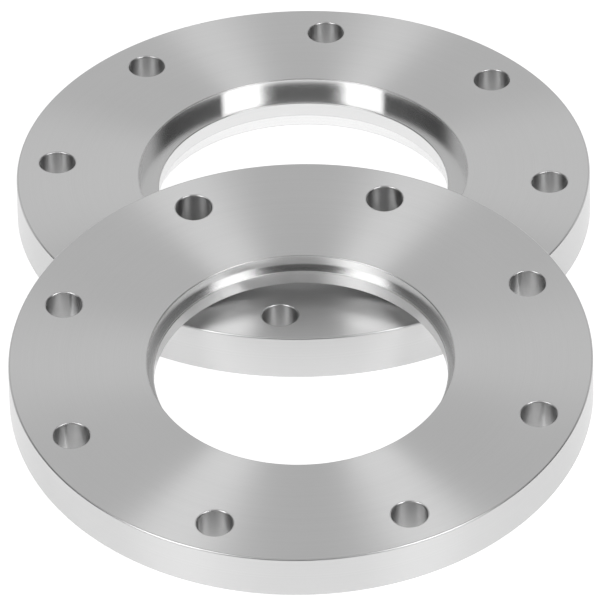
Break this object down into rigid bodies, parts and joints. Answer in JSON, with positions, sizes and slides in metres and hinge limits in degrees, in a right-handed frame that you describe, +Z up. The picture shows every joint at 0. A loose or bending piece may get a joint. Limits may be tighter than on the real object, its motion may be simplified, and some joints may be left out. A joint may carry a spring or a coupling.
{
  "type": "bored flange pair",
  "caption": "Pair of flat ring flanges with stepped bores and bolt-hole circles, one lying flat with its seal side up, the other leaning on its rim with its weld side up.",
  "frame": {"origin": "on the surface that both flanges stand on, midway between the nearest point of the upper flange and the farthest point of the lower one, on the pair's middle plane", "axes": "+Z up, +Y from the upper flange towards the lower one, +X to the right; the lower flange's own axis is parallel to +Z, the upper flange's is tipped 7.1 degrees from +Z towards -Y"},
  "size_m": [0.145, 0.2378, 0.0297],
  "materials": {
    "turned_stainless": "face-turned stainless steel, bright, with fine concentric tool marks on the flat faces, finer lines round the outside and smoother bores"
  },
  "bodies": {
    "lower_flange": {"lower_flange": "turned_stainless"},
    "upper_flange": {"upper_flange": "turned_stainless"}
  },
  "joints": [
    {"name": "upper_flange_lift", "type": "slide", "parent": "lower_flange", "child": "upper_flange", "axis": [0, 0, 1], "range_m": [0, 0.1]}
  ]
}
